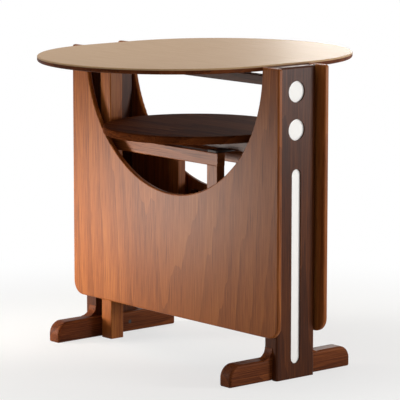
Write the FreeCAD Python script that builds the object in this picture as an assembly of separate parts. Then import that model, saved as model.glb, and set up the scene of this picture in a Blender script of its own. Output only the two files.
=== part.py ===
"""Drop-leaf gate-leg dining table: a round-ended top between two drop leaves, on two end columns.

Millimetres. +Z is up and the floor is z = 0. X runs along the table from column to column, and the
leaves hang on the -Y (front) and +Y (back) sides. The origin is on the floor under the middle.
The back leaf, gate and fittings are the front ones turned half a turn about Z.
"""
import FreeCAD
import Part
import math
import os

from FreeCAD import Vector

# Overall
TABLE_HEIGHT = 750.0
FACE_CLEARANCE = 0.6
PRESS_CLEARANCE = 0.02
RUNNING_CLEARANCE = 0.05
JOINERY_CLEARANCE = 0.1
CUT_OVERRUN = 2.0

# Leaves: boards with a half-round cut that swings up round the end of the top
LEAF_HORN_WIDTH = 59.0
LEAF_THICKNESS = 13.0
LEAF_INNER_Y = 67.0
LEAF_BOTTOM_Z = 105.0
LEAF_CORNER_RADIUS = 34.0
HORN_CORNER_RADIUS = 6.0
LEAF_EDGE_ROUND = 4.0
LEAF_TOP_GAP = 2.0
LEAF_DROP = 3.5

# Top: a pale sheet with a rounded edge, on a core with a solid wood lipping
TOP_HALF_WIDTH = 330.0
TOP_END_CENTRE_Y = 72.0
TOP_THICKNESS = 13.5
TOP_SHEET_THICKNESS = 4.0
TOP_LIPPING_WIDTH = 12.0
TOP_UPPER_ROUND = 3.2
TOP_LOWER_ROUND = 4.5

# End columns
COLUMN_REACH = 36.0
COLUMN_THICKNESS = 41.0
COLUMN_HALF_WIDTH = 60.0
COLUMN_TOP_DROP = 5.0
COLUMN_EDGE_ROUND = 5.0
COLUMN_TOP_GAP = 1.0
COLUMN_FOOT_LIP = 15.0

# Windows in the columns' outer faces, each with a pale inlay at the bottom of the recess
WINDOW_HOLE_RADIUS = 25.5
WINDOW_HOLE_DROPS = (64.0, 154.0)
WINDOW_SLOT_WIDTH = 29.0
WINDOW_SLOT_BOTTOM_Z = 36.0
WINDOW_SLOT_DROP = 247.0
WINDOW_DEPTH = 6.0
WINDOW_INLAY_THICKNESS = 2.0

# Feet
FOOT_THICKNESS = 40.0
FOOT_HALF_LENGTH = 192.0
FOOT_HEIGHT = 52.0
FOOT_TOE_HEIGHT = 22.0
FOOT_TOE_LENGTH = 32.0
FOOT_TOE_BASE_ROUND = 4.0
FOOT_COVE_RADIUS = 26.0
FOOT_COVE_LIP = 1.0
FOOT_EDGE_ROUND = 6.0
GLIDE_RADIUS = 11.0
GLIDE_THICKNESS = 3.0
GLIDE_END_INSET = 24.0
FOOT_SCREW_SPREAD = 40.0
FOOT_SCREW_BITE = 9.0

# Rails between the columns
RAIL_THICKNESS = 24.0
CLEAT_HEIGHT = 20.0
TOP_RAIL_HEIGHT = 23.0
SHELF_RAIL_HEIGHT = 27.0
STRETCHER_BOTTOM_Z = 112.0
STRETCHER_HEIGHT = 32.0
RAIL_TENON_LENGTH = 22.0
RAIL_TENON_THICKNESS = 10.0
RAIL_TENON_SHOULDER = 4.0
RAIL_EDGE_ROUND = 1.6

# Shelf and the cleats that hold the top
SHELF_RADIUS_SHARE = 0.691
SHELF_DROP = 178.0
SHELF_THICKNESS = 19.0
SHELF_EDGE_ROUND = 5.0
CLEAT_LENGTH = 64.0
CLEAT_PLACES = (-160.0, 0.0, 160.0)
CLEAT_EDGE_ROUND = 1.5

# Wood screws
SCREW_SHANK_RADIUS = 2.5
SCREW_HEAD_RADIUS = 5.0
SCREW_HEAD_HEIGHT = 4.0
SCREW_BITE = 8.0
SHELF_SCREW_PLACES = (-170.0, -60.0, 60.0, 170.0)

# Gates: a full-height leg on two rails that swing about a hung pivot stile
GATE_THICKNESS = 24.0
GATE_MIDDLE_Y = 37.0
GATE_RAIL_HEIGHT = 32.0
GATE_LOWER_RAIL_LIFT = 20.0
GATE_TENON_LENGTH = 13.0
GATE_TENON_THICKNESS = 10.0
GATE_TENON_SHOULDER = 5.0
STILE_TENON_HEIGHT = 8.0
STILE_TENON_SHOULDER = 8.0
GATE_EDGE_ROUND = 2.0
PIVOT_STILE_WIDTH = 39.0
PIVOT_STILE_END_X = 137.0
LEG_WIDTH = 40.0
LEG_DEPTH = 40.0
LEG_FOOT_GAP = 5.0
LEG_TOP_GAP = 0.8
LEG_EDGE_ROUND = 3.0
PIVOT_PIN_RADIUS = 4.0
PIVOT_PIN_BITE = 22.0
PIVOT_BLOCK_REACH = 1.0
PIVOT_PLATE_THICKNESS = 5.0
PIVOT_PLATE_CORNER = 6.0

# Leaf hinges: a steel tongue let into the column, pinned in a slot in the leaf's horn
TONGUE_INSET = 20.0
TONGUE_THICKNESS = 6.0
TONGUE_EYE_RADIUS = 5.0
TONGUE_HEIGHT = 9.0
TONGUE_BITE = 24.0
TONGUE_SIDE_CLEARANCE = 0.4
TONGUE_SWING_CLEARANCE = 0.6
HINGE_PIN_RADIUS = 2.0
HINGE_PIN_HALF_LENGTH = 11.0

# Small fittings on the leaves
STOP_WIDTH = 14.0
STOP_HEIGHT = 34.0
STOP_DEPTH = 12.0
STOP_EDGE_ROUND = 2.0
GATE_OPEN_ANGLE = 80.0
BUMPER_RADIUS = 7.0
BUMPER_INSET = 24.0
BUMPER_Z = 150.0

# Places worked out from the sizes above
LEAF_OUTER_Y = LEAF_INNER_Y + LEAF_THICKNESS
HINGE_Y = LEAF_INNER_Y + LEAF_THICKNESS / 2
LEAF_TOP_Z = TABLE_HEIGHT - LEAF_DROP
HINGE_Z = LEAF_TOP_Z - LEAF_THICKNESS / 2
LEAF_CUT_RADIUS = TOP_HALF_WIDTH + LEAF_TOP_GAP
LEAF_HALF_WIDTH = LEAF_CUT_RADIUS + LEAF_HORN_WIDTH
LEAF_CUT_CENTRE_Z = HINGE_Z + HINGE_Y - TOP_END_CENTRE_Y
TOP_UNDERSIDE_Z = TABLE_HEIGHT - TOP_THICKNESS
COLUMN_OUTER_X = TOP_HALF_WIDTH + COLUMN_REACH
COLUMN_INNER_X = COLUMN_OUTER_X - COLUMN_THICKNESS
COLUMN_TOP_Z = TABLE_HEIGHT - COLUMN_TOP_DROP
FOOT_OUTER_X = COLUMN_OUTER_X - COLUMN_FOOT_LIP
FOOT_INNER_X = FOOT_OUTER_X - FOOT_THICKNESS
RAIL_HALF = RAIL_THICKNESS / 2
SHELF_RADIUS = TOP_HALF_WIDTH * SHELF_RADIUS_SHARE
SHELF_TOP_Z = TABLE_HEIGHT - SHELF_DROP
SHELF_UNDERSIDE_Z = SHELF_TOP_Z - SHELF_THICKNESS
SHELF_RAIL_BOTTOM_Z = SHELF_UNDERSIDE_Z - SHELF_RAIL_HEIGHT
TOP_RAIL_TOP_Z = TOP_UNDERSIDE_Z - CLEAT_HEIGHT
TOP_RAIL_BOTTOM_Z = TOP_RAIL_TOP_Z - TOP_RAIL_HEIGHT
STRETCHER_TOP_Z = STRETCHER_BOTTOM_Z + STRETCHER_HEIGHT
GATE_OUTER_Y = GATE_MIDDLE_Y + GATE_THICKNESS / 2
GATE_INNER_Y = GATE_MIDDLE_Y - GATE_THICKNESS / 2
PIVOT_PLATE_Z = SHELF_RAIL_BOTTOM_Z - PIVOT_PLATE_THICKNESS
GATE_TOP_Z = PIVOT_PLATE_Z - FACE_CLEARANCE
GATE_BOTTOM_Z = STRETCHER_TOP_Z + FACE_CLEARANCE
GATE_LOWER_RAIL_Z = GATE_BOTTOM_Z + GATE_LOWER_RAIL_LIFT
PIVOT_STILE_START_X = PIVOT_STILE_END_X - PIVOT_STILE_WIDTH
PIVOT_X = PIVOT_STILE_END_X - PIVOT_STILE_WIDTH / 2
LEG_OUTER_X = FOOT_INNER_X - LEG_FOOT_GAP
LEG_INNER_X = LEG_OUTER_X - LEG_WIDTH
LEG_MIDDLE_X = LEG_OUTER_X - LEG_WIDTH / 2
LEG_TOP_Z = min(TOP_UNDERSIDE_Z, LEAF_TOP_Z - LEAF_THICKNESS) - LEG_TOP_GAP
TONGUE_X = LEAF_CUT_RADIUS + TONGUE_INSET
BUMPER_X = COLUMN_OUTER_X - BUMPER_INSET
WINDOW_SLOT_TOP_Z = TABLE_HEIGHT - WINDOW_SLOT_DROP
GATE_TOP_RAIL_Z = GATE_TOP_Z - GATE_RAIL_HEIGHT


def box(x_from, x_to, y_from, y_to, z_from, z_to):
    """A block between two corners."""
    return Part.makeBox(x_to - x_from, y_to - y_from, z_to - z_from, Vector(x_from, y_from, z_from))


def rod(radius, length, base, direction):
    """A round bar from a base point along a direction."""
    return Part.makeCylinder(radius, length, base, direction)


def line(start, end):
    return Part.makeLine(start, end)


def arc(start, through, end):
    return Part.Arc(start, through, end).toShape()


def plate(edges, depth):
    """A flat outline pushed along a depth vector."""
    return Part.Face(Part.Wire(edges)).extrude(depth)


def rounded(shape, radius, wanted):
    """The shape with the wanted edges rounded."""
    return shape.makeFillet(radius, [edge for edge in shape.Edges if wanted(edge.BoundBox)])


def is_upright(bounds):
    """True for an edge that stands straight along Z."""
    return bounds.ZLength > bounds.XLength + bounds.YLength


def half_turn(shape):
    """A copy turned half a turn about the table's middle."""
    turned = shape.copy()
    turned.rotate(Vector(0, 0, 0), Vector(0, 0, 1), 180)
    return turned


def group(shapes):
    return Part.makeCompound(shapes)


def save(name, shape):
    """Write one piece, after checking that every solid in it is sound."""
    if not shape.Solids or not all(solid.isValid() for solid in shape.Solids):
        raise RuntimeError("unsound piece: " + name)
    shape.exportStep(os.path.join("parts", name + ".step"))


def screw(base, direction, length):
    """A pan-head wood screw whose head starts at the base point."""
    head = rod(SCREW_HEAD_RADIUS, SCREW_HEAD_HEIGHT, base, direction)
    shank = rod(SCREW_SHANK_RADIUS, length, base, direction)
    return head.fuse(shank).removeSplitter()


def screw_hole(base, direction, length):
    """The room that a screw takes, with its counterbore open behind the head."""
    start = base - direction * CUT_OVERRUN
    head = rod(SCREW_HEAD_RADIUS + JOINERY_CLEARANCE, SCREW_HEAD_HEIGHT + CUT_OVERRUN, start, direction)
    shank = rod(SCREW_SHANK_RADIUS + PRESS_CLEARANCE, length + PRESS_CLEARANCE, base, direction)
    return head.fuse(shank)


def top_outline(inset):
    """The top's round-ended outline, drawn in from the rim, at the height of the underside."""
    radius = TOP_HALF_WIDTH - inset
    z = TOP_UNDERSIDE_Z
    y = TOP_END_CENTRE_Y
    front_left = Vector(-radius, -y, z)
    front_right = Vector(radius, -y, z)
    back_left = Vector(-radius, y, z)
    back_right = Vector(radius, y, z)
    return [
        arc(front_left, Vector(0, -y - radius, z), front_right),
        line(front_right, back_right),
        arc(back_right, Vector(0, y + radius, z), back_left),
        line(back_left, front_left),
    ]


def top_screw_lines():
    """Start point and length of each screw that goes up through rail and cleat into the top."""
    start_z = TOP_RAIL_BOTTOM_Z
    length = TOP_UNDERSIDE_Z + SCREW_BITE - start_z
    return [(Vector(x, 0, start_z), length) for x in CLEAT_PLACES]


def shelf_screw_lines():
    """Start point and length of each screw that goes up through the shelf rail into the shelf."""
    start_z = SHELF_RAIL_BOTTOM_Z
    length = SHELF_UNDERSIDE_Z + SCREW_BITE - start_z
    return [(Vector(x, 0, start_z), length) for x in SHELF_SCREW_PLACES]


def foot_screw_lines():
    """Start point of each screw that goes through the right foot into the column's lip."""
    z = FOOT_HEIGHT / 2
    return [Vector(FOOT_INNER_X, y, z) for y in (-FOOT_SCREW_SPREAD, FOOT_SCREW_SPREAD)]


def without(shape, cutters):
    for cutter in cutters:
        shape = shape.cut(cutter)
    return shape


def make_top():
    up = Vector(0, 0, 1)
    core_height = TOP_THICKNESS - TOP_SHEET_THICKNESS
    core = plate(top_outline(TOP_LIPPING_WIDTH), up * core_height)
    core = without(core, [screw_hole(base, up, length) for base, length in top_screw_lines()])
    lipping = plate(top_outline(0), up * core_height)
    sheet = plate(top_outline(0), up * TOP_SHEET_THICKNESS)
    sheet.translate(up * core_height)

    def lies_at(bounds, z):
        return bounds.ZLength < PRESS_CLEARANCE and abs(bounds.ZMin - z) < PRESS_CLEARANCE

    sheet = rounded(sheet, TOP_UPPER_ROUND, lambda bounds: lies_at(bounds, TABLE_HEIGHT))
    lipping = rounded(lipping, TOP_LOWER_ROUND, lambda bounds: lies_at(bounds, TOP_UNDERSIDE_Z))
    opening = plate(top_outline(TOP_LIPPING_WIDTH), up * core_height)
    save("top_core", core)
    save("top_sheet", sheet)
    save("top_lipping", lipping.cut(opening))


def rail(bottom_z, height):
    """A rail from column to column, with a shouldered tenon at each end."""
    body = box(-COLUMN_INNER_X, COLUMN_INNER_X, -RAIL_HALF, RAIL_HALF, bottom_z, bottom_z + height)
    span = 2 * COLUMN_INNER_X
    body = rounded(body, RAIL_EDGE_ROUND, lambda bounds: bounds.XLength > span - CUT_OVERRUN)
    return body.fuse(rail_tenons(bottom_z, height, 0)).removeSplitter()


def rail_tenons(bottom_z, height, clearance):
    """The bar that makes both tenons of a rail, or the mortises that take them."""
    end = COLUMN_INNER_X + RAIL_TENON_LENGTH + clearance
    half = RAIL_TENON_THICKNESS / 2 + clearance
    low = bottom_z + RAIL_TENON_SHOULDER - clearance
    high = bottom_z + height - RAIL_TENON_SHOULDER + clearance
    return box(-end, end, -half, half, low, high)


def make_rails():
    up = Vector(0, 0, 1)
    top_rail = rail(TOP_RAIL_BOTTOM_Z, TOP_RAIL_HEIGHT)
    top_rail = without(top_rail, [screw_hole(base, up, length) for base, length in top_screw_lines()])
    shelf_rail = rail(SHELF_RAIL_BOTTOM_Z, SHELF_RAIL_HEIGHT)
    shelf_rail = without(shelf_rail, [screw_hole(base, up, length) for base, length in shelf_screw_lines()])
    save("top_rail", top_rail)
    save("shelf_rail", shelf_rail)
    save("lower_stretcher", rail(STRETCHER_BOTTOM_Z, STRETCHER_HEIGHT))
    cleats = []
    for (base, length), x in zip(top_screw_lines(), CLEAT_PLACES):
        start = x - CLEAT_LENGTH / 2
        cleat = box(start, start + CLEAT_LENGTH, -RAIL_HALF, RAIL_HALF, TOP_RAIL_TOP_Z, TOP_UNDERSIDE_Z)
        cleat = rounded(cleat, CLEAT_EDGE_ROUND, is_upright)
        cleats.append(cleat.cut(screw_hole(base, up, length)))
    save("top_cleats", group(cleats))
    save("top_screws", group([screw(base, up, length) for base, length in top_screw_lines()]))


def make_shelf():
    up = Vector(0, 0, 1)
    shelf = rod(SHELF_RADIUS, SHELF_THICKNESS, Vector(0, 0, SHELF_UNDERSIDE_Z), up)
    shelf = rounded(shelf, SHELF_EDGE_ROUND, lambda bounds: not is_upright(bounds))
    shelf = without(shelf, [screw_hole(base, up, length) for base, length in shelf_screw_lines()])
    save("shelf", shelf)
    save("shelf_screws", group([screw(base, up, length) for base, length in shelf_screw_lines()]))


def window_shapes(start_x, depth, clearance):
    """The two round windows and the tall slot, as plugs along +X from a plane."""
    along = Vector(1, 0, 0)
    radius = WINDOW_HOLE_RADIUS - clearance
    centres = [Vector(start_x, 0, TABLE_HEIGHT - drop) for drop in WINDOW_HOLE_DROPS]
    plugs = [rod(radius, depth, centre, along) for centre in centres]
    half = WINDOW_SLOT_WIDTH / 2 - clearance
    low = WINDOW_SLOT_BOTTOM_Z + WINDOW_SLOT_WIDTH / 2
    high = WINDOW_SLOT_TOP_Z - WINDOW_SLOT_WIDTH / 2
    slot = plate(
        [
            line(Vector(start_x, half, low), Vector(start_x, half, high)),
            arc(Vector(start_x, half, high), Vector(start_x, 0, high + half), Vector(start_x, -half, high)),
            line(Vector(start_x, -half, high), Vector(start_x, -half, low)),
            arc(Vector(start_x, -half, low), Vector(start_x, 0, low - half), Vector(start_x, half, low)),
        ],
        along * depth,
    )
    return plugs + [slot]


def tongue_profile():
    """The front hinge tongue: a bar let into the column, ending in an eye round the hinge pin."""
    across = Vector(TONGUE_THICKNESS, 0, 0)
    x = TONGUE_X - TONGUE_THICKNESS / 2
    eye = rod(TONGUE_EYE_RADIUS, TONGUE_THICKNESS, Vector(x, -HINGE_Y, HINGE_Z), Vector(1, 0, 0))
    low = HINGE_Z - TONGUE_HEIGHT
    inner_y = TONGUE_BITE - COLUMN_HALF_WIDTH
    eye_low = HINGE_Z - TONGUE_EYE_RADIUS
    bar = plate(
        [
            line(Vector(x, -HINGE_Y, eye_low), Vector(x, -LEAF_INNER_Y, low)),
            line(Vector(x, -LEAF_INNER_Y, low), Vector(x, inner_y, low)),
            line(Vector(x, inner_y, low), Vector(x, inner_y, HINGE_Z)),
            line(Vector(x, inner_y, HINGE_Z), Vector(x, -HINGE_Y, HINGE_Z)),
            line(Vector(x, -HINGE_Y, HINGE_Z), Vector(x, -HINGE_Y, eye_low)),
        ],
        across,
    )
    return bar.fuse(eye).removeSplitter()


def tongue_slot():
    """The slot in the column's top that takes the front tongue, open at the top and the front."""
    half = TONGUE_THICKNESS / 2 + PRESS_CLEARANCE
    low = HINGE_Z - TONGUE_HEIGHT
    inner_y = TONGUE_BITE - COLUMN_HALF_WIDTH + PRESS_CLEARANCE
    front_y = -COLUMN_HALF_WIDTH - CUT_OVERRUN
    return box(TONGUE_X - half, TONGUE_X + half, front_y, inner_y, low, COLUMN_TOP_Z + CUT_OVERRUN)


def mirrored_front_back(shape):
    return shape.mirror(Vector(0, 0, 0), Vector(0, 1, 0))


def mirrored_left_right(shape):
    return shape.mirror(Vector(0, 0, 0), Vector(1, 0, 0))


def make_columns():
    column = box(COLUMN_INNER_X, COLUMN_OUTER_X, -COLUMN_HALF_WIDTH, COLUMN_HALF_WIDTH, 0, COLUMN_TOP_Z)

    def outer_edge(bounds):
        return bounds.XMin > COLUMN_OUTER_X - PRESS_CLEARANCE and bounds.ZMax > FOOT_HEIGHT

    column = rounded(column, COLUMN_EDGE_ROUND, outer_edge)
    wide = COLUMN_HALF_WIDTH + CUT_OVERRUN
    inside = COLUMN_INNER_X - CUT_OVERRUN
    foot_room = box(inside, FOOT_OUTER_X, -wide, wide, -CUT_OVERRUN, FOOT_HEIGHT)
    shoulder_x = TOP_HALF_WIDTH + COLUMN_TOP_GAP
    top_seat = box(inside, shoulder_x, -wide, wide, TOP_UNDERSIDE_Z, TABLE_HEIGHT)
    windows = window_shapes(COLUMN_OUTER_X - WINDOW_DEPTH, WINDOW_DEPTH + CUT_OVERRUN, 0)
    rails = (
        (TOP_RAIL_BOTTOM_Z, TOP_RAIL_HEIGHT),
        (SHELF_RAIL_BOTTOM_Z, SHELF_RAIL_HEIGHT),
        (STRETCHER_BOTTOM_Z, STRETCHER_HEIGHT),
    )
    mortises = [rail_tenons(bottom_z, height, JOINERY_CLEARANCE) for bottom_z, height in rails]
    slots = [tongue_slot(), mirrored_front_back(tongue_slot())]
    screws = [screw_hole(base, Vector(1, 0, 0), foot_screw_length()) for base in foot_screw_lines()]
    column = without(column, [foot_room, top_seat] + windows + mortises + slots + screws)
    inlays = group(window_shapes(COLUMN_OUTER_X - WINDOW_DEPTH, WINDOW_INLAY_THICKNESS, PRESS_CLEARANCE))
    save("column_right", column)
    save("column_left", half_turn(column))
    save("window_inlays_right", inlays)
    save("window_inlays_left", half_turn(inlays))


def foot_screw_length():
    return FOOT_THICKNESS + FOOT_SCREW_BITE


def foot_bar():
    """A foot with a low toe at each end and its long edges rounded."""
    x = FOOT_INNER_X
    half = FOOT_HALF_LENGTH
    toe = FOOT_TOE_HEIGHT
    high = FOOT_HEIGHT
    crown = FOOT_HALF_LENGTH - FOOT_TOE_LENGTH
    rise = FOOT_HEIGHT - FOOT_TOE_HEIGHT
    toe_radius = (FOOT_TOE_LENGTH ** 2 + rise ** 2) / (2 * rise)
    toe_turn = math.asin(FOOT_TOE_LENGTH / toe_radius)
    arc_y = crown + toe_radius * math.sin(toe_turn / 2)
    arc_z = high - toe_radius + toe_radius * math.cos(toe_turn / 2)
    base = FOOT_TOE_BASE_ROUND
    flat = half - base
    base_y = flat + base * math.sqrt(0.5)
    base_z = base - base * math.sqrt(0.5)
    bar = plate(
        [
            arc(Vector(x, -flat, 0), Vector(x, -base_y, base_z), Vector(x, -half, base)),
            line(Vector(x, -half, base), Vector(x, -half, toe)),
            arc(Vector(x, -half, toe), Vector(x, -arc_y, arc_z), Vector(x, -crown, high)),
            line(Vector(x, -crown, high), Vector(x, crown, high)),
            arc(Vector(x, crown, high), Vector(x, arc_y, arc_z), Vector(x, half, toe)),
            line(Vector(x, half, toe), Vector(x, half, base)),
            arc(Vector(x, half, base), Vector(x, base_y, base_z), Vector(x, flat, 0)),
            line(Vector(x, flat, 0), Vector(x, -flat, 0)),
        ],
        Vector(FOOT_THICKNESS, 0, 0),
    )

    def above_floor(bounds):
        return bounds.XLength < PRESS_CLEARANCE and bounds.ZMax > toe - PRESS_CLEARANCE

    return rounded(bar, FOOT_EDGE_ROUND, above_floor)


def foot_cove():
    """The hollow curve that runs from a foot's top up the column's front face."""
    x = COLUMN_INNER_X
    wall = -COLUMN_HALF_WIDTH
    lip = wall - FOOT_COVE_LIP
    start = lip - FOOT_COVE_RADIUS
    low = FOOT_HEIGHT
    sunk = FOOT_HEIGHT - CUT_OVERRUN
    top = FOOT_HEIGHT + FOOT_COVE_RADIUS
    bend = FOOT_COVE_RADIUS * math.sqrt(0.5)
    return plate(
        [
            line(Vector(x, wall, sunk), Vector(x, start, sunk)),
            line(Vector(x, start, sunk), Vector(x, start, low)),
            arc(Vector(x, start, low), Vector(x, start + bend, top - bend), Vector(x, lip, top)),
            line(Vector(x, lip, top), Vector(x, wall, top)),
            line(Vector(x, wall, top), Vector(x, wall, sunk)),
        ],
        Vector(FOOT_OUTER_X - x, 0, 0),
    )


def make_feet():
    foot = foot_bar().fuse([foot_cove(), mirrored_front_back(foot_cove())]).removeSplitter()
    along = Vector(1, 0, 0)
    screws = [screw(base, along, foot_screw_length()) for base in foot_screw_lines()]
    foot = without(foot, [screw_hole(base, along, foot_screw_length()) for base in foot_screw_lines()])
    glide_x = (FOOT_INNER_X + FOOT_OUTER_X) / 2
    glides = []
    for y in (-FOOT_HALF_LENGTH + GLIDE_END_INSET, FOOT_HALF_LENGTH - GLIDE_END_INSET):
        glide = rod(GLIDE_RADIUS, GLIDE_THICKNESS, Vector(glide_x, y, 0), Vector(0, 0, 1))
        glides.append(glide)
    foot = without(foot, glides)
    save("foot_right", foot)
    save("foot_left", half_turn(foot))
    save("foot_glides_right", group(glides))
    save("foot_glides_left", half_turn(group(glides)))
    save("foot_screws_right", group(screws))
    save("foot_screws_left", half_turn(group(screws)))


def gate_tenon(start_x, end_x, bottom_z, clearance):
    """A gate rail's tenon, or the mortise for it, between two X places."""
    half = GATE_TENON_THICKNESS / 2 + clearance
    low = bottom_z + GATE_TENON_SHOULDER - clearance
    high = bottom_z + GATE_RAIL_HEIGHT - GATE_TENON_SHOULDER + clearance
    front = -GATE_MIDDLE_Y - half
    back = -GATE_MIDDLE_Y + half
    return box(start_x - clearance, end_x + clearance, front, back, low, high)


def stile_tenon(clearance):
    """The stub on the pivot stile's top, or the mortise for it in the rail above."""
    half = GATE_TENON_THICKNESS / 2 + clearance
    start = PIVOT_STILE_START_X + STILE_TENON_SHOULDER - clearance
    end = PIVOT_STILE_END_X - STILE_TENON_SHOULDER + clearance
    low = GATE_TOP_RAIL_Z - clearance
    high = GATE_TOP_RAIL_Z + STILE_TENON_HEIGHT + clearance
    return box(start, end, -GATE_MIDDLE_Y - half, -GATE_MIDDLE_Y + half, low, high)


def gate_rail(bottom_z, end, tenon_end):
    """A gate rail from the leg to an end place, with a tenon bar that may run on past that end."""
    start = -LEG_INNER_X
    body = box(start, end, -GATE_OUTER_Y, -GATE_INNER_Y, bottom_z, bottom_z + GATE_RAIL_HEIGHT)
    body = rounded(body, GATE_EDGE_ROUND, lambda bounds: bounds.XLength > end - start - CUT_OVERRUN)
    tenon = gate_tenon(start - GATE_TENON_LENGTH, tenon_end, bottom_z, 0)
    return body.fuse(tenon).removeSplitter()


def gate_leg(glide):
    """The full-height leg, with mortises for both rails and a pocket for its glide."""
    half_depth = LEG_DEPTH / 2
    middle = -GATE_MIDDLE_Y
    leg = box(-LEG_OUTER_X, -LEG_INNER_X, middle - half_depth, middle + half_depth, 0, LEG_TOP_Z)
    leg = rounded(leg, LEG_EDGE_ROUND, is_upright)
    start = -LEG_INNER_X - GATE_TENON_LENGTH
    mortises = [gate_tenon(start, 0, z, JOINERY_CLEARANCE) for z in (GATE_TOP_RAIL_Z, GATE_LOWER_RAIL_Z)]
    return without(leg, mortises + [glide])


def make_gate():
    up = Vector(0, 0, 1)
    start = PIVOT_STILE_START_X
    end = PIVOT_STILE_END_X
    lower_end = start + GATE_TENON_LENGTH
    glide = rod(GLIDE_RADIUS, GLIDE_THICKNESS, Vector(-LEG_MIDDLE_X, -GATE_MIDDLE_Y, 0), up)
    stile = box(start, end, -GATE_OUTER_Y, -GATE_INNER_Y, GATE_BOTTOM_Z, GATE_TOP_RAIL_Z)
    stile = rounded(stile, GATE_EDGE_ROUND, is_upright).fuse(stile_tenon(0)).removeSplitter()
    lower_mortise = gate_tenon(start, lower_end, GATE_LOWER_RAIL_Z, JOINERY_CLEARANCE)
    spans = (
        (GATE_TOP_Z - PIVOT_PIN_BITE, SHELF_RAIL_BOTTOM_Z),
        (GATE_BOTTOM_Z - PIVOT_PIN_BITE, GATE_BOTTOM_Z + PIVOT_PIN_BITE),
    )
    pins = []
    sockets = []
    for bottom, top in spans:
        base = Vector(PIVOT_X, -GATE_MIDDLE_Y, bottom)
        pins.append(rod(PIVOT_PIN_RADIUS, top - bottom, base, up))
        sockets.append(rod(PIVOT_PIN_RADIUS + PRESS_CLEARANCE, top - bottom, base, up))
    top_rail = gate_rail(GATE_TOP_RAIL_Z, end, end)
    pieces = {
        "gate_leg": gate_leg(glide),
        "gate_pivot_stile": without(stile, [lower_mortise] + sockets),
        "gate_top_rail": without(top_rail, [stile_tenon(JOINERY_CLEARANCE)] + sockets),
        "gate_lower_rail": gate_rail(GATE_LOWER_RAIL_Z, start, lower_end),
        "gate_pivot_pins": group(pins),
        "gate_leg_glide": glide,
    }
    for name, shape in pieces.items():
        save(name + "_front", shape)
        save(name + "_back", half_turn(shape))


def make_pivot_blocks():
    """The steel plate under the shelf rail and the block on the stretcher that hold a gate's pins."""
    up = Vector(0, 0, 1)
    outer_y = GATE_OUTER_Y + PIVOT_BLOCK_REACH
    start = PIVOT_STILE_START_X
    end = PIVOT_STILE_END_X
    flat_plate = box(start, end, -outer_y, RAIL_HALF, PIVOT_PLATE_Z, SHELF_RAIL_BOTTOM_Z)
    pieces = {
        "upper_pivot_plate": rounded(flat_plate, PIVOT_PLATE_CORNER, is_upright_in_plate),
        "lower_pivot_block": box(start, end, -outer_y, -RAIL_HALF, STRETCHER_BOTTOM_Z, STRETCHER_TOP_Z),
    }
    bores = [
        rod(PIVOT_PIN_RADIUS + RUNNING_CLEARANCE, top - bottom, Vector(PIVOT_X, -GATE_MIDDLE_Y, bottom), up)
        for bottom, top in ((PIVOT_PLATE_Z - CUT_OVERRUN, SHELF_RAIL_BOTTOM_Z + CUT_OVERRUN), lower_bore())
    ]
    for name, block in pieces.items():
        block = without(block, bores)
        save(name + "_front", block)
        save(name + "_back", half_turn(block))


def is_upright_in_plate(bounds):
    """True for the short upright corners of the pivot plate."""
    return bounds.XLength + bounds.YLength < PRESS_CLEARANCE


def lower_bore():
    """Bottom and top of the bore in the block on the stretcher."""
    return GATE_BOTTOM_Z - PIVOT_PIN_BITE - FACE_CLEARANCE, STRETCHER_TOP_Z + CUT_OVERRUN


def leaf_board():
    """The front leaf: a board with rounded lower corners and a half-round cut between two horns."""
    y = -LEAF_OUTER_Y
    wide = LEAF_HALF_WIDTH
    top = LEAF_TOP_Z
    low = LEAF_BOTTOM_Z
    corner = LEAF_CORNER_RADIUS
    cut = LEAF_CUT_RADIUS
    centre = LEAF_CUT_CENTRE_Z
    inset = corner - corner * math.sqrt(0.5)
    horn = HORN_CORNER_RADIUS
    horn_inset = horn - horn * math.sqrt(0.5)
    face = [
        arc(
            Vector(-wide, y, top - horn),
            Vector(horn_inset - wide, y, top - horn_inset),
            Vector(horn - wide, y, top),
        ),
        line(Vector(horn - wide, y, top), Vector(-cut, y, top)),
        line(Vector(-cut, y, top), Vector(-cut, y, centre)),
        arc(Vector(-cut, y, centre), Vector(0, y, centre - cut), Vector(cut, y, centre)),
        line(Vector(cut, y, centre), Vector(cut, y, top)),
        line(Vector(cut, y, top), Vector(wide - horn, y, top)),
        arc(
            Vector(wide - horn, y, top),
            Vector(wide - horn_inset, y, top - horn_inset),
            Vector(wide, y, top - horn),
        ),
        line(Vector(wide, y, top - horn), Vector(wide, y, low + corner)),
        arc(
            Vector(wide, y, low + corner),
            Vector(wide - inset, y, low + inset),
            Vector(wide - corner, y, low),
        ),
        line(Vector(wide - corner, y, low), Vector(corner - wide, y, low)),
        arc(
            Vector(corner - wide, y, low),
            Vector(inset - wide, y, low + inset),
            Vector(-wide, y, low + corner),
        ),
        line(Vector(-wide, y, low + corner), Vector(-wide, y, top - horn)),
    ]
    board = plate(face, Vector(0, LEAF_THICKNESS, 0))
    return rounded(board, LEAF_EDGE_ROUND, lambda bounds: bounds.YLength < PRESS_CLEARANCE)


def horn_slot():
    """The slot in the right front horn that the tongue swings in, open inwards and upwards."""
    half = TONGUE_THICKNESS / 2 + TONGUE_SIDE_CLEARANCE
    low = HINGE_Z - TONGUE_HEIGHT - TONGUE_SWING_CLEARANCE
    outer = -HINGE_Y - TONGUE_EYE_RADIUS - TONGUE_SWING_CLEARANCE
    inner = -LEAF_INNER_Y + CUT_OVERRUN
    return box(TONGUE_X - half, TONGUE_X + half, outer, inner, low, LEAF_TOP_Z + CUT_OVERRUN)


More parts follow.
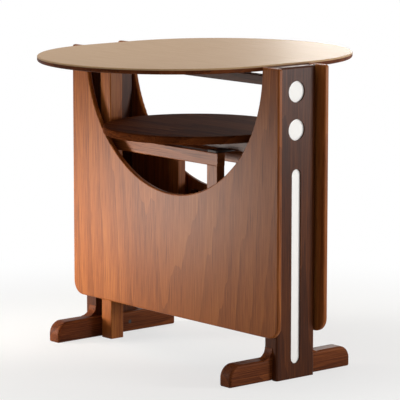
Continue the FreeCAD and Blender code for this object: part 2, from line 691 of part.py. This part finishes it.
def make_leaf():
    along = Vector(1, 0, 0)
    start = Vector(TONGUE_X - HINGE_PIN_HALF_LENGTH, -HINGE_Y, HINGE_Z)
    length = 2 * HINGE_PIN_HALF_LENGTH
    pin = rod(HINGE_PIN_RADIUS, length, start, along)
    pin_bore = rod(HINGE_PIN_RADIUS + PRESS_CLEARANCE, length + PRESS_CLEARANCE, start, along)
    eye_bore = rod(HINGE_PIN_RADIUS + RUNNING_CLEARANCE, length, start, along)
    tongue = tongue_profile().cut(eye_bore)
    cutters = []
    for cutter in (horn_slot(), pin_bore):
        cutters += [cutter, mirrored_left_right(cutter)]
    board = without(leaf_board(), cutters)
    pins = group([pin, mirrored_left_right(pin)])
    tongues = group([tongue, mirrored_left_right(tongue)])
    bumpers = []
    depth = LEAF_INNER_Y - COLUMN_HALF_WIDTH - FACE_CLEARANCE
    for x in (-BUMPER_X, BUMPER_X):
        bumpers.append(rod(BUMPER_RADIUS, depth, Vector(x, -LEAF_INNER_Y, BUMPER_Z), Vector(0, 1, 0)))
    pieces = {
        "leaf": board,
        "hinge_pins": pins,
        "hinge_tongues": tongues,
        "leaf_bumpers": group(bumpers),
        "leg_stop": leg_stop(),
    }
    for name, shape in pieces.items():
        save(name + "_front", shape)
        save(name + "_back", half_turn(shape))


def leg_stop():
    """The block under the leaf that the opened gate's leg comes to rest against."""
    angle = math.radians(GATE_OPEN_ANGLE)
    arm = PIVOT_X + LEG_MIDDLE_X
    leg_x = PIVOT_X - arm * math.cos(angle)
    leg_y = GATE_MIDDLE_Y + arm * math.sin(angle)
    across = (LEG_WIDTH / 2 - LEG_EDGE_ROUND) * math.cos(angle)
    along = (LEG_DEPTH / 2 - LEG_EDGE_ROUND) * math.sin(angle)
    start_x = leg_x + across + along + LEG_EDGE_ROUND + FACE_CLEARANCE
    middle_z = HINGE_Z - (leg_y - HINGE_Y)
    inner = STOP_DEPTH - LEAF_INNER_Y
    low = middle_z - STOP_HEIGHT / 2
    block = box(start_x, start_x + STOP_WIDTH, -LEAF_INNER_Y, inner, low, low + STOP_HEIGHT)
    on_front = inner - PRESS_CLEARANCE
    return rounded(block, STOP_EDGE_ROUND, lambda bounds: bounds.YMin > on_front)


def main():
    os.makedirs("parts", exist_ok=True)
    make_top()
    make_rails()
    make_shelf()
    make_columns()
    make_feet()
    make_pivot_blocks()
    make_gate()
    make_leaf()


main()
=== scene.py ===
"""Looks for a drop-leaf gate-leg dining table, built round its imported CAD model.

Metres, in the CAD model's own frame: +Z up, the floor at z = 0, the leaves at -Y and +Y.
"""
import math

import bpy
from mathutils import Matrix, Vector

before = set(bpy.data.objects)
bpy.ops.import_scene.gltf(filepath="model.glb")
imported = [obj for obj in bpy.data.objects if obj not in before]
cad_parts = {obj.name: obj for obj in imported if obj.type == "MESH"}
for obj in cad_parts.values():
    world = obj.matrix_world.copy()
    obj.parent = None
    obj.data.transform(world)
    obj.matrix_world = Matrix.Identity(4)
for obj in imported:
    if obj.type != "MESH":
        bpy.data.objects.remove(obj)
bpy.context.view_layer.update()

bl_info = {
    "name": "Gate-leg table looks",
    "version": (1, 0, 0),
    "blender": (4, 5, 0),
    "location": "3D View > Sidebar > Table",
    "description": "Finishes a drop-leaf gate-leg table and sets it on a pale studio floor",
    "category": "Object",
}

MILLIMETRE = 0.001
SENSOR_WIDTH = 36.0
WHITE = (1, 1, 1, 1)

# Which way the wood's fibres run in each piece, as the turn that brings the fibre onto Z
FIBRE_TURNS = {
    "upright": (0, 0, 0),
    "lengthways": (0, math.pi / 2, 0),
    "crossways": (math.pi / 2, 0, 0),
}

# The pith that the growth rings run round: its place in metres, its lean, and how far the rings sway
PITH_PLACE = (0.02, 0.06, 1.0)
PITH_LEAN = (math.radians(7), math.radians(2), 0)
PITH_SWAY = 9.0
SWAY_WIDTH_RINGS = 8
SWAY_LENGTH_FIBRES = 4
WAVES_PER_UNIT = 1 / 20

# How much the rings and the slow changes of tone weigh beside the fibres
RING_SHARE = 0.16
BOARD_SHARE = 0.3
BOARD_LENGTH_WIDTHS = 6

# Where the wood's three tones lie on the summed pattern, from late growth to early growth
TONE_PLACES = (0.45, 0.72, 0.98)

# Pores: their size beside a fibre's, the tone they multiply in, its share, their edges and their depth
PORE_WIDTH_FIBRES = 0.6
PORE_LENGTH_FIBRES = 0.4
PORE_TONE = (0.64, 0.58, 0.54, 1)
PORE_SHARE = 0.7
PORE_EDGES = (0.34, 0.47)
PORE_DEPTH = 0.25 * MILLIMETRE
PORE_BUMP = 0.12
LACQUER_INDEX = 1.45
LACQUER_ROUGHNESS_SPAN = 0.14

# Each wood: its tones from dark to pale, the gloss of its finish and its greatest roughness
WOODS = {
    # Columns and rails: near-black brown under a satin lacquer
    "dark_stained_beech": (("wood_dark", "wood_middle", "wood_light"), 0.1, 0.42),
    # Feet and the top's lipping: a paler, duller brown; the paler tone is painted light, standing in for the
    # light that falls on them
    "worn_stained_beech": (("wood_dark", "foot_middle", "foot_light"), 0.06, 0.56),
    # Leaves and gates: warm red-brown veneer and legs under the same lacquer; on the gates the paler tone is
    # painted light, standing in for the light that falls on their faces
    "red_stained_beech": (("leaf_dark", "leaf_middle", "leaf_light"), 0.1, 0.42),
    # Shelf: oil soaked in, so that hardly any of the room mirrors in it
    "dark_oiled_beech": (("wood_dark", "foot_middle", "foot_light"), 0.004, 0.7),
}

# Each laminate: its body tone, its fleck tone and its roughness
LAMINATES = {
    # Top: an even pale sand tone with faint fibres and a soft sheen
    "decor_laminate": ("top_pale", "top_fleck", 0.42),
    # Windows: a plain clean white
    "white_laminate": ("window_pale", "window_pale", 0.4),
}
FLECK_EDGES = (0.36, 0.62)
LAMINATE_ROUGHNESS_SWING = 0.05
LAMINATE_INDEX = 1.5
LAMINATE_GLOSS = 0.06
TOOTH_SIZE = 1.2 * MILLIMETRE
TOOTH_DEPTH = 0.1 * MILLIMETRE
TOOTH_BUMP = 0.05

# Each speckled material: its tone, how metallic and rough it is, the speckle's size and its depth of tone
SPECKLED = {
    # Pins, tongues and hidden screws: bright grey with a fine broken shine
    "brushed_steel": ("steel_grey", 1.0, 0.34, 0.8 * MILLIMETRE, 0.15),
    # Pivot plates and foot screws: brown-black, so that they sink into the wood
    "bronzed_steel": ("bronze_brown", 0.4, 0.6, 0.8 * MILLIMETRE, 0.2),
    # The top's core: coarse light and dark chips, quite matt
    "pressed_chipboard": ("core_brown", 0.0, 0.8, 2 * MILLIMETRE, 0.35),
    # Glides: dark grey with the faint shine of plastic
    "moulded_nylon": ("glide_grey", 0.0, 0.55, 1 * MILLIMETRE, 0.2),
    # Bumpers: matt black
    "moulded_rubber": ("rubber_black", 0.0, 0.75, 1 * MILLIMETRE, 0.3),
}
SPECKLE_EDGES = (0.3, 0.7)
SPECKLE_ROUGHNESS_SWING = 0.07

# How far the floor lies under the glides, in metres, so that no two faces share one plane
FLOOR_DROP = 0.0001

# The lamps and their tones
LAMP_TONES = {"key": "#FFFAF4", "side": "#FFFFFF", "far": "#FFFDF8", "ceiling": "#FFFAF2"}


def linear_from_hex(text):
    """An sRGB hex colour as linear red, green, blue and alpha."""
    channels = []
    for start in (1, 3, 5):
        value = int(text[start:start + 2], 16) / 255
        channels.append(value / 12.92 if value <= 0.04045 else ((value + 0.055) / 1.055) ** 2.4)
    return (*channels, 1.0)


def colour_property(name, description, hex_text):
    return bpy.props.FloatVectorProperty(
        name=name, description=description, subtype="COLOR", size=4, min=0, max=1,
        default=linear_from_hex(hex_text),
    )


def length_property(name, description, metres):
    return bpy.props.FloatProperty(
        name=name, description=description, default=metres, min=0,
        unit="LENGTH", subtype="DISTANCE", precision=5,
    )


def watt_property(name, description, watts):
    return bpy.props.FloatProperty(name=name, description=description, default=watts, min=0, unit="POWER")


def angle_property(name, description, degrees):
    return bpy.props.FloatProperty(
        name=name, description=description, default=math.radians(degrees), subtype="ANGLE"
    )


def place_property(name, description, metres):
    return bpy.props.FloatVectorProperty(
        name=name, description=description, default=metres, size=3, unit="LENGTH", subtype="TRANSLATION"
    )


class TableFinish(bpy.types.PropertyGroup):
    """Colours and grain sizes of the table's finishes."""

    wood_dark: colour_property("Wood, late growth", "Darkest line of the stained wood", "#200C04")
    wood_middle: colour_property("Wood, body", "Main tone of the stained wood", "#431F0B")
    wood_light: colour_property("Wood, early growth", "Palest tone of the stained wood", "#5E3115")
    # Painted light: the feet's paler tones stand in for the light that falls on the feet and the top's
    # lipping
    foot_middle: colour_property("Feet, body", "Main tone of the feet, worn paler than the frame", "#5C2D14")
    foot_light: colour_property("Feet, early growth", "Palest tone of the feet", "#804622")
    leaf_dark: colour_property("Leaf, late growth", "Darkest line of the leaf veneer", "#552C12")
    leaf_middle: colour_property("Leaf, body", "Main tone of the leaf veneer", "#864A22")
    leaf_light: colour_property("Leaf, early growth", "Palest tone of the leaf veneer", "#9E602E")
    top_pale: colour_property("Top sheet", "Main tone of the pale top sheet", "#B99873")
    top_fleck: colour_property("Top sheet fleck", "Faint fibres in the pale top sheet", "#AC8A66")
    window_pale: colour_property("Window inlay", "Tone of the white window inlays", "#FCFBF8")
    core_brown: colour_property("Core board", "Tone of the top's pressed core", "#8E6B4A")
    steel_grey: colour_property("Steel", "Tone of the hinge steel", "#A9A6A0")
    bronze_brown: colour_property("Bronzed steel", "Tone of the pivot plates and foot screws", "#1E120B")
    rubber_black: colour_property("Rubber", "Tone of the bumpers", "#191817")
    glide_grey: colour_property("Glide", "Tone of the floor glides", "#2C2A28")
    ring_spacing: length_property("Ring spacing", "Distance between growth rings", 0.006)
    fibre_width: length_property("Fibre width", "Width of one streak, coarse enough to show", 0.0017)
    fibre_length: length_property("Fibre length", "Length of one streak of fibres", 0.11)
    board_width: length_property("Board tone width", "Width of the slow changes of tone across a board", 0.11)


class TableStage(bpy.types.PropertyGroup):
    """The camera, the floor and the light."""

    camera_place: place_property("Camera place", "Where the lens stands", (4.8791, -4.1343, 1.3993))
    camera_turn: angle_property("Camera turn", "How far the camera turns from looking along Y", 49.634)
    camera_tip: angle_property("Camera tip", "How far the camera looks down", 9.01)
    lens_millimetres: bpy.props.FloatProperty(
        name="Lens", description="Focal length on a 36 mm sensor, in millimetres", default=236.53, min=1
    )
    floor_half: length_property("Floor reach", "Half the floor's side", 40.0)
    floor_white: colour_property("Floor", "Tone of the pale floor", "#F3F2EE")
    floor_lift: bpy.props.FloatProperty(
        name="Floor lift", description="Share of plain white in what is seen of the floor close to the table",
        default=0.66, min=0, max=1,
    )
    floor_near: length_property("Shadow zone", "How far from the middle shadows show in full", 0.5)
    floor_far: length_property("White zone", "How far from the middle the floor is plain white", 1.4)
    key_power: watt_property("Key light", "Power of the light low at the left", 4.3)
    key_side: length_property("Key size", "Side of the low light", 0.4)
    key_place: place_property("Key place", "Where the low light stands", (-1.0, -1.0, 0.25))
    key_aim: place_property("Key aim", "What the low light points at", (-0.42, -0.08, 0.2))
    key_spread: angle_property("Key spread", "Width of the low light's beam", 64)
    side_power: watt_property("Side light", "Power of the white light low behind the right end", 60)
    side_side: length_property("Side size", "Side of the white light", 0.8)
    side_place: place_property("Side place", "Where the white light stands", (2.65, 2.0, 0.75))
    side_aim: place_property("Side aim", "What the white light points at", (0.36, 0.0, 0.6))
    far_power: watt_property("Far light", "Power of the light that the top mirrors at the right", 44)
    far_side: length_property("Far size", "Side of the far light", 1.2)
    far_place: place_property("Far place", "Where the far light stands", (-3.07, 3.91, 1.35))
    far_aim: place_property("Far aim", "What the far light points at", (0.2, 0.2, 0.72))
    ceiling_power: watt_property("Ceiling light", "Power of the soft light over the table", 22)
    ceiling_side: length_property("Ceiling size", "Side of the soft light over the table", 1.4)
    ceiling_place: place_property("Ceiling place", "Where the soft light hangs", (-0.5, -0.3, 2.6))
    ceiling_aim: place_property("Ceiling aim", "What the soft light points at", (0.0, 0.0, 0.75))
    fill_strength: bpy.props.FloatProperty(
        name="Room light", description="Strength of the even light from the room", default=0.3, min=0
    )


def finish_settings():
    return bpy.context.scene.table_finish


def stage_settings():
    return bpy.context.scene.table_stage


def add_node(tree, kind, settings=None, values=None, links=None, stops=()):
    """Adds one node with its settings, fixed inputs, incoming links and, on a ramp, its colour stops."""
    node = tree.nodes.new(kind)
    for key, value in (settings or {}).items():
        setattr(node, key, value)
    for key, value in (values or {}).items():
        node.inputs[key].default_value = value
    for key, socket in (links or {}).items():
        tree.links.new(socket, node.inputs[key])
    for number, (place, colour) in enumerate(stops):
        elements = node.color_ramp.elements
        element = elements[number] if number < len(elements) else elements.new(place)
        element.position = place
        element.color = colour
    return node


def new_material(name):
    """An empty node material and its output node."""
    material = bpy.data.materials.new(name)
    material.use_nodes = True
    material.node_tree.nodes.clear()
    output = add_node(material.node_tree, "ShaderNodeOutputMaterial")
    return material, output


def fibre_coordinates(tree, turn):
    """The piece's own coordinates in metres, turned so that the wood's fibres run along Z."""
    source = add_node(tree, "ShaderNodeTexCoord")
    turned = add_node(
        tree, "ShaderNodeMapping", {"vector_type": "POINT"}, {"Rotation": turn},
        {"Vector": source.outputs["Object"]},
    )
    return turned.outputs["Vector"]


def streaks(tree, place, across, along, detail=2.0, roughness=0.5):
    """A soft uneven pattern of the given size across the fibres and along them, from 0 to 1."""
    counted = add_node(
        tree, "ShaderNodeMapping", {"vector_type": "POINT"}, {"Scale": (1 / across, 1 / across, 1 / along)},
        {"Vector": place},
    )
    pattern = add_node(
        tree, "ShaderNodeTexNoise", {}, {"Scale": 1.0, "Detail": detail, "Roughness": roughness},
        {"Vector": counted.outputs["Vector"]},
    )
    return pattern.outputs["Fac"]


def growth_rings(tree, place):
    """Rings round a pith that leans through the board, so that flat faces show long pointed arches."""
    finish = finish_settings()
    spacing = finish.ring_spacing
    sway = streaks(tree, place, spacing * SWAY_WIDTH_RINGS, finish.fibre_length * SWAY_LENGTH_FIBRES)
    swing = add_node(tree, "ShaderNodeMath", {"operation": "MULTIPLY"}, {1: PITH_SWAY}, {0: sway})
    pith = add_node(
        tree, "ShaderNodeMapping", {"vector_type": "TEXTURE"},
        {"Location": PITH_PLACE, "Rotation": PITH_LEAN, "Scale": (spacing, spacing, spacing)},
        {"Vector": place},
    )
    rings = add_node(
        tree, "ShaderNodeTexWave",
        {"wave_type": "RINGS", "rings_direction": "Z", "wave_profile": "SAW"},
        {"Scale": WAVES_PER_UNIT, "Distortion": 0.0},
        {"Vector": pith.outputs["Vector"], "Phase Offset": swing.outputs[0]},
    )
    return rings.outputs["Fac"]


def named_tones(names):
    finish = finish_settings()
    return [tuple(getattr(finish, name)) for name in names]


def stained_wood(kind, direction):
    """Stained and finished hardwood, sawn and sanded, its fibres along the given direction, made once.

    It gives the eye fine streaks and dark pores along the fibres, faint arches of growth rings, slow
    changes of tone from board to board, and a low sheen that the pores break up.
    """
    name = kind + "_" + direction
    if name in bpy.data.materials:
        return bpy.data.materials[name]
    finish = finish_settings()
    tone_names, gloss, roughest = WOODS[kind]
    material, output = new_material(name)
    tree = material.node_tree
    place = fibre_coordinates(tree, FIBRE_TURNS[direction])
    slow = streaks(tree, place, finish.board_width, finish.board_width * BOARD_LENGTH_WIDTHS)
    fibres = streaks(tree, place, finish.fibre_width, finish.fibre_length, detail=3.0, roughness=0.6)
    pores = streaks(
        tree, place, finish.fibre_width * PORE_WIDTH_FIBRES, finish.fibre_length * PORE_LENGTH_FIBRES
    )
    ringed = add_node(
        tree, "ShaderNodeMath", {"operation": "MULTIPLY_ADD"}, {1: RING_SHARE},
        {0: growth_rings(tree, place), 2: fibres},
    )
    tone = add_node(
        tree, "ShaderNodeMath", {"operation": "MULTIPLY_ADD"}, {1: BOARD_SHARE},
        {0: slow, 2: ringed.outputs[0]},
    )
    wood = add_node(
        tree, "ShaderNodeValToRGB", links={"Fac": tone.outputs[0]},
        stops=list(zip(TONE_PLACES, named_tones(tone_names))),
    )
    pore_line = add_node(
        tree, "ShaderNodeValToRGB", links={"Fac": pores}, stops=list(zip(PORE_EDGES, (PORE_TONE, WHITE)))
    )
    colour = add_node(
        tree, "ShaderNodeMix", {"data_type": "RGBA", "blend_type": "MULTIPLY"}, {0: PORE_SHARE},
        {6: wood.outputs["Color"], 7: pore_line.outputs["Color"]},
    )
    rough = add_node(
        tree, "ShaderNodeMapRange", {},
        {"To Min": roughest, "To Max": roughest - LACQUER_ROUGHNESS_SPAN}, {"Value": fibres},
    )
    bump = add_node(
        tree, "ShaderNodeBump", {}, {"Strength": PORE_BUMP, "Distance": PORE_DEPTH}, {"Height": pores}
    )
    shader = add_node(
        tree, "ShaderNodeBsdfPrincipled", {}, {"IOR": LACQUER_INDEX, "Specular IOR Level": gloss},
        {
            "Base Color": colour.outputs[2],
            "Roughness": rough.outputs["Result"],
            "Normal": bump.outputs["Normal"],
        },
    )
    tree.links.new(shader.outputs["BSDF"], output.inputs["Surface"])
    return material


def flecked_sheet(name):
    """Satin decor laminate, pressed: an even tone with faint fibre flecks and a fine pressed tooth."""
    finish = finish_settings()
    base_name, fleck_name, roughness = LAMINATES[name]
    material, output = new_material(name)
    tree = material.node_tree
    place = fibre_coordinates(tree, FIBRE_TURNS["lengthways"])
    flecks = streaks(tree, place, finish.fibre_width, finish.fibre_length, detail=3.0, roughness=0.6)
    tooth = streaks(tree, place, TOOTH_SIZE, TOOTH_SIZE, detail=1.0)
    colour = add_node(
        tree, "ShaderNodeValToRGB", links={"Fac": flecks},
        stops=list(zip(FLECK_EDGES, named_tones((fleck_name, base_name)))),
    )
    rough = add_node(
        tree, "ShaderNodeMapRange", {},
        {"To Min": roughness + LAMINATE_ROUGHNESS_SWING, "To Max": roughness - LAMINATE_ROUGHNESS_SWING},
        {"Value": flecks},
    )
    bump = add_node(
        tree, "ShaderNodeBump", {}, {"Strength": TOOTH_BUMP, "Distance": TOOTH_DEPTH}, {"Height": tooth}
    )
    shader = add_node(
        tree, "ShaderNodeBsdfPrincipled", {}, {"IOR": LAMINATE_INDEX, "Specular IOR Level": LAMINATE_GLOSS},
        {
            "Base Color": colour.outputs["Color"],
            "Roughness": rough.outputs["Result"],
            "Normal": bump.outputs["Normal"],
        },
    )
    tree.links.new(shader.outputs["BSDF"], output.inputs["Surface"])
    return material


def speckled(name):
    """Steel, chipboard, rubber or plastic: a fine speckle makes one tone a little lighter and darker."""
    if name in bpy.data.materials:
        return bpy.data.materials[name]
    tone_name, metallic, roughness, grain_size, depth = SPECKLED[name]
    base = named_tones([tone_name])[0]
    low = tuple(channel * (1 - depth) for channel in base[:3]) + (1,)
    material, output = new_material(name)
    tree = material.node_tree
    place = fibre_coordinates(tree, FIBRE_TURNS["upright"])
    speckle = streaks(tree, place, grain_size, grain_size)
    colour = add_node(
        tree, "ShaderNodeValToRGB", links={"Fac": speckle}, stops=list(zip(SPECKLE_EDGES, (low, base)))
    )
    rough = add_node(
        tree, "ShaderNodeMapRange", {},
        {"To Min": roughness - SPECKLE_ROUGHNESS_SWING, "To Max": roughness + SPECKLE_ROUGHNESS_SWING},
        {"Value": speckle},
    )
    shader = add_node(
        tree, "ShaderNodeBsdfPrincipled", {}, {"Metallic": metallic},
        {"Base Color": colour.outputs["Color"], "Roughness": rough.outputs["Result"]},
    )
    tree.links.new(shader.outputs["BSDF"], output.inputs["Surface"])
    return material


def dress(material, *names):
    """Gives CAD nodes their material."""
    for name in names:
        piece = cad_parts[name]
        piece.data.materials.clear()
        piece.data.materials.append(material)


def pair(name):
    return name + "_front", name + "_back"


def ends(name):
    return name + "_left", name + "_right"


class TABLE_OT_top(bpy.types.Operator):
    """Finish the top: pale sheet, pressed core and wood lipping."""

    bl_idname = "table.top"
    bl_label = "Top"

    def execute(self, context):
        dress(flecked_sheet("decor_laminate"), "top_sheet")
        dress(speckled("pressed_chipboard"), "top_core")
        dress(stained_wood("worn_stained_beech", "lengthways"), "top_lipping")
        return {"FINISHED"}


class TABLE_OT_rails(bpy.types.Operator):
    """Finish the rails between the columns, the cleats and their screws."""

    bl_idname = "table.rails"
    bl_label = "Rails and cleats"

    def execute(self, context):
        wood = stained_wood("dark_stained_beech", "lengthways")
        dress(wood, "top_rail", "shelf_rail", "lower_stretcher", "top_cleats")
        dress(speckled("brushed_steel"), "top_screws", "shelf_screws")
        return {"FINISHED"}


class TABLE_OT_shelf(bpy.types.Operator):
    """Finish the round shelf."""

    bl_idname = "table.shelf"
    bl_label = "Shelf"

    def execute(self, context):
        dress(stained_wood("dark_oiled_beech", "lengthways"), "shelf")
        return {"FINISHED"}


class TABLE_OT_columns(bpy.types.Operator):
    """Finish the end columns and the inlays in their windows."""

    bl_idname = "table.columns"
    bl_label = "Columns"

    def execute(self, context):
        dress(stained_wood("dark_stained_beech", "upright"), *ends("column"))
        dress(flecked_sheet("white_laminate"), *ends("window_inlays"))
        return {"FINISHED"}


class TABLE_OT_feet(bpy.types.Operator):
    """Finish the feet, their glides and screws."""

    bl_idname = "table.feet"
    bl_label = "Feet"

    def execute(self, context):
        dress(stained_wood("worn_stained_beech", "crossways"), *ends("foot"))
        dress(speckled("moulded_nylon"), *ends("foot_glides"), *pair("gate_leg_glide"))
        dress(speckled("bronzed_steel"), *ends("foot_screws"))
        return {"FINISHED"}


class TABLE_OT_gates(bpy.types.Operator):
    """Finish the swing-out gates and the blocks that carry them."""

    bl_idname = "table.gates"
    bl_label = "Gates"

    def execute(self, context):
        # Painted light: the gates take the paler leaf wood, standing in for the low light that falls on them
        # under the top
        upright = stained_wood("red_stained_beech", "upright")
        level = stained_wood("red_stained_beech", "lengthways")
        dress(upright, *pair("gate_leg"), *pair("gate_pivot_stile"))
        dress(level, *pair("gate_top_rail"), *pair("gate_lower_rail"))
        dress(stained_wood("dark_stained_beech", "lengthways"), *pair("lower_pivot_block"))
        dress(speckled("brushed_steel"), *pair("gate_pivot_pins"))
        dress(speckled("bronzed_steel"), *pair("upper_pivot_plate"))
        return {"FINISHED"}


class TABLE_OT_leaves(bpy.types.Operator):
    """Finish the drop leaves, their hinges and their small fittings."""

    bl_idname = "table.leaves"
    bl_label = "Leaves"

    def execute(self, context):
        dress(stained_wood("red_stained_beech", "upright"), *pair("leaf"))
        dress(stained_wood("dark_stained_beech", "upright"), *pair("leg_stop"))
        dress(speckled("brushed_steel"), *pair("hinge_pins"), *pair("hinge_tongues"))
        dress(speckled("moulded_rubber"), *pair("leaf_bumpers"))
        return {"FINISHED"}


def seen_directly(tree):
    """1 for rays from the camera and for those that mirror or pass through to what lies behind, else 0."""
    rays = add_node(tree, "ShaderNodeLightPath")
    mirrored = add_node(
        tree, "ShaderNodeMath", {"operation": "MAXIMUM"}, {},
        {0: rays.outputs["Is Glossy Ray"], 1: rays.outputs["Is Transmission Ray"]},
    )
    seen = add_node(
        tree, "ShaderNodeMath", {"operation": "MAXIMUM"}, {},
        {0: rays.outputs["Is Camera Ray"], 1: mirrored.outputs[0]},
    )
    return seen.outputs[0]


def pale_floor_material():
    """Matt pale paper: what is seen of it is lifted towards white, and shadows still show."""
    settings = stage_settings()
    material, output = new_material("pale_paper")
    tree = material.node_tree
    source = add_node(tree, "ShaderNodeTexCoord")
    away = add_node(tree, "ShaderNodeVectorMath", {"operation": "LENGTH"}, {}, {0: source.outputs["Object"]})
    white = add_node(
        tree, "ShaderNodeMapRange", {"interpolation_type": "SMOOTHSTEP"},
        {
            "From Min": settings.floor_near,
            "From Max": settings.floor_far,
            "To Min": settings.floor_lift,
            "To Max": 1.0,
        },
        {"Value": away.outputs["Value"]},
    )
    share = add_node(
        tree, "ShaderNodeMath", {"operation": "MULTIPLY"}, {},
        {0: white.outputs["Result"], 1: seen_directly(tree)},
    )
    matt = add_node(tree, "ShaderNodeBsdfDiffuse", {}, {"Color": settings.floor_white})
    glow = add_node(tree, "ShaderNodeEmission", {}, {"Color": WHITE, "Strength": 1.0})
    both = add_node(
        tree, "ShaderNodeMixShader", {}, {}, {0: share.outputs[0], 1: matt.outputs[0], 2: glow.outputs[0]}
    )
    tree.links.new(both.outputs[0], output.inputs["Surface"])
    return material


class TABLE_OT_stage(bpy.types.Operator):
    """Set the floor, the lamps, the room and the camera."""

    bl_idname = "table.stage"
    bl_label = "Stage"

    def execute(self, context):
        settings = stage_settings()
        self.make_floor(settings)
        self.make_light(settings)
        self.make_room(settings)
        self.make_camera(settings)
        context.scene.view_settings.view_transform = "Standard"
        return {"FINISHED"}

    def make_floor(self, settings):
        half = settings.floor_half
        mesh = bpy.data.meshes.new("floor")
        low = -FLOOR_DROP
        corners = [(-half, -half, low), (half, -half, low), (half, half, low), (-half, half, low)]
        mesh.from_pydata(corners, [], [(0, 1, 2, 3)])
        floor = bpy.data.objects.new("floor", mesh)
        floor.data.materials.append(pale_floor_material())
        bpy.context.scene.collection.objects.link(floor)

    def make_light(self, settings):
        for name, tone in LAMP_TONES.items():
            lamp = bpy.data.lights.new(name + "_light", "AREA")
            lamp.energy = getattr(settings, name + "_power")
            lamp.size = getattr(settings, name + "_side")
            lamp.color = linear_from_hex(tone)[:3]
            lamp.spread = settings.key_spread if name == "key" else math.pi
            light = bpy.data.objects.new(name + "_light", lamp)
            light.location = getattr(settings, name + "_place")
            aim = Vector(getattr(settings, name + "_aim")) - light.location
            light.rotation_euler = aim.to_track_quat("-Z", "Y").to_euler()
            light.visible_camera = False
            bpy.context.scene.collection.objects.link(light)

    def make_room(self, settings):
        world = bpy.data.worlds.new("pale_room")
        world.use_nodes = True
        tree = world.node_tree
        tree.nodes.clear()
        output = add_node(tree, "ShaderNodeOutputWorld")
        room = add_node(
            tree, "ShaderNodeBackground", {}, {"Color": WHITE, "Strength": settings.fill_strength}
        )
        white = add_node(tree, "ShaderNodeBackground", {}, {"Color": WHITE, "Strength": 1.0})
        both = add_node(
            tree, "ShaderNodeMixShader", {}, {},
            {0: seen_directly(tree), 1: room.outputs[0], 2: white.outputs[0]},
        )
        tree.links.new(both.outputs[0], output.inputs["Surface"])
        bpy.context.scene.world = world

    def make_camera(self, settings):
        data = bpy.data.cameras.new("camera")
        data.sensor_width = SENSOR_WIDTH
        data.lens = settings.lens_millimetres
        camera = bpy.data.objects.new("camera", data)
        camera.location = settings.camera_place
        camera.rotation_euler = (math.pi / 2 - settings.camera_tip, 0, settings.camera_turn)
        bpy.context.scene.collection.objects.link(camera)
        bpy.context.scene.camera = camera


class TABLE_PT_looks(bpy.types.Panel):
    """Lists the steps that finish the table."""

    bl_idname = "TABLE_PT_looks"
    bl_label = "Gate-leg table"
    bl_space_type = "VIEW_3D"
    bl_region_type = "UI"
    bl_category = "Table"

    def draw(self, context):
        for step in STEPS:
            self.layout.operator(step.bl_idname)


STEPS = (
    TABLE_OT_top,
    TABLE_OT_rails,
    TABLE_OT_shelf,
    TABLE_OT_columns,
    TABLE_OT_feet,
    TABLE_OT_gates,
    TABLE_OT_leaves,
    TABLE_OT_stage,
)
CLASSES = (TableFinish, TableStage, *STEPS, TABLE_PT_looks)


def register():
    for item in CLASSES:
        bpy.utils.register_class(item)
    bpy.types.Scene.table_finish = bpy.props.PointerProperty(type=TableFinish)
    bpy.types.Scene.table_stage = bpy.props.PointerProperty(type=TableStage)


def unregister():
    del bpy.types.Scene.table_stage
    del bpy.types.Scene.table_finish
    for item in reversed(CLASSES):
        bpy.utils.unregister_class(item)


def main():
    register()
    for step in STEPS:
        group, action = step.bl_idname.split(".")
        getattr(getattr(bpy.ops, group), action)()


if __name__ == "__main__":
    main()
